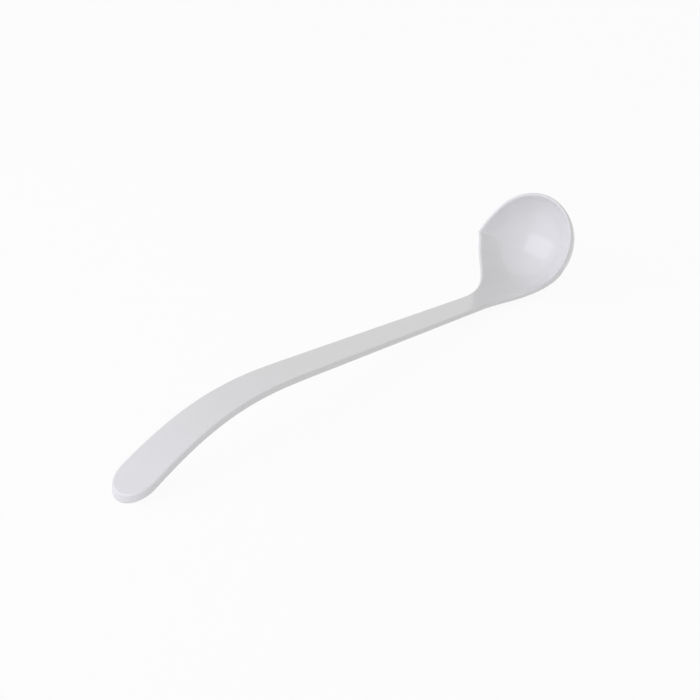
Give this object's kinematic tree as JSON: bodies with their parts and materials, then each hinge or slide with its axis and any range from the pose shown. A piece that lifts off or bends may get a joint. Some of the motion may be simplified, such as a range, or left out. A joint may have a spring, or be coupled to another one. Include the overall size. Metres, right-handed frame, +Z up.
{
  "type": "dressing spoon",
  "caption": "One-piece moulded serving spoon with a small round bowl that has a pouring lip on its left side, and a long tapered handle bent at its end, for lifting salad dressing out of a crock.",
  "frame": {"origin": "centre of the bounding box on the surface that the spoon lies on", "axes": "+X from the tip of the handle to the bowl, +Y to the left of the bowl, +Z up with the spoon lying on its back"},
  "size_m": [0.3212, 0.058, 0.0478],
  "materials": {
    "white_melamine": "moulded white melamine, glossy"
  },
  "bodies": {
    "root": {"bowl": "white_melamine", "shank": "white_melamine", "grip": "white_melamine"}
  },
  "joints": []
}
